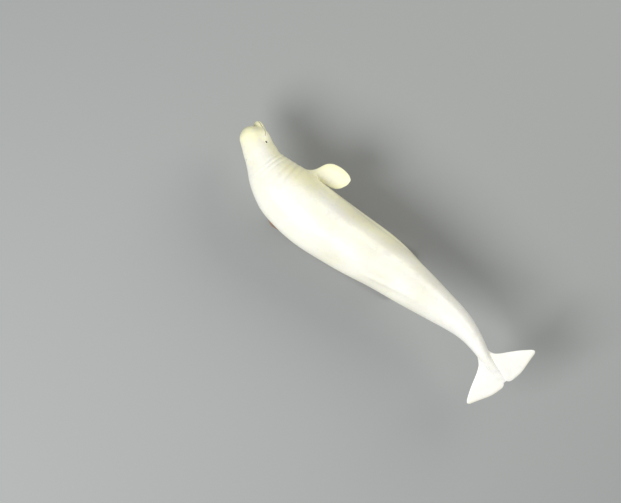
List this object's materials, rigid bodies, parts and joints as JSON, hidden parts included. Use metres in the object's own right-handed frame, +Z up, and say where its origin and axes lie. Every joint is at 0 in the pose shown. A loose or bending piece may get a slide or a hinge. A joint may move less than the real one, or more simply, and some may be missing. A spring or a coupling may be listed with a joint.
{
  "type": "beluga whale",
  "caption": "Life-size adult beluga whale swimming half rolled on to its left side, head turned, on a flat display stand with upright rods.",
  "frame": {"origin": "middle of the bounding box's footprint, on the floor under the stand", "axes": "+Z up; the whale lies along Y with its head towards -Y and its flukes towards +Y; its right side is towards -X and up"},
  "size_m": [1.09, 3.896, 1.0931],
  "materials": {
    "white_skin": "smooth, wet",
    "eye": "glossy",
    "stand_board": "stained oak, satin varnish",
    "stand_steel": "satin"
  },
  "bodies": {
    "root": {"head": "white_skin", "right_eye": "eye", "left_eye": "eye", "neck": "white_skin", "chest": "white_skin", "abdomen": "white_skin", "loin": "white_skin", "tail_stock": "white_skin", "right_flipper": "white_skin", "left_flipper": "white_skin", "right_fluke": "white_skin", "left_fluke": "white_skin", "stand_base": "stand_board", "stand_rod_front": "stand_steel", "stand_rod_rear": "stand_steel"}
  },
  "joints": []
}
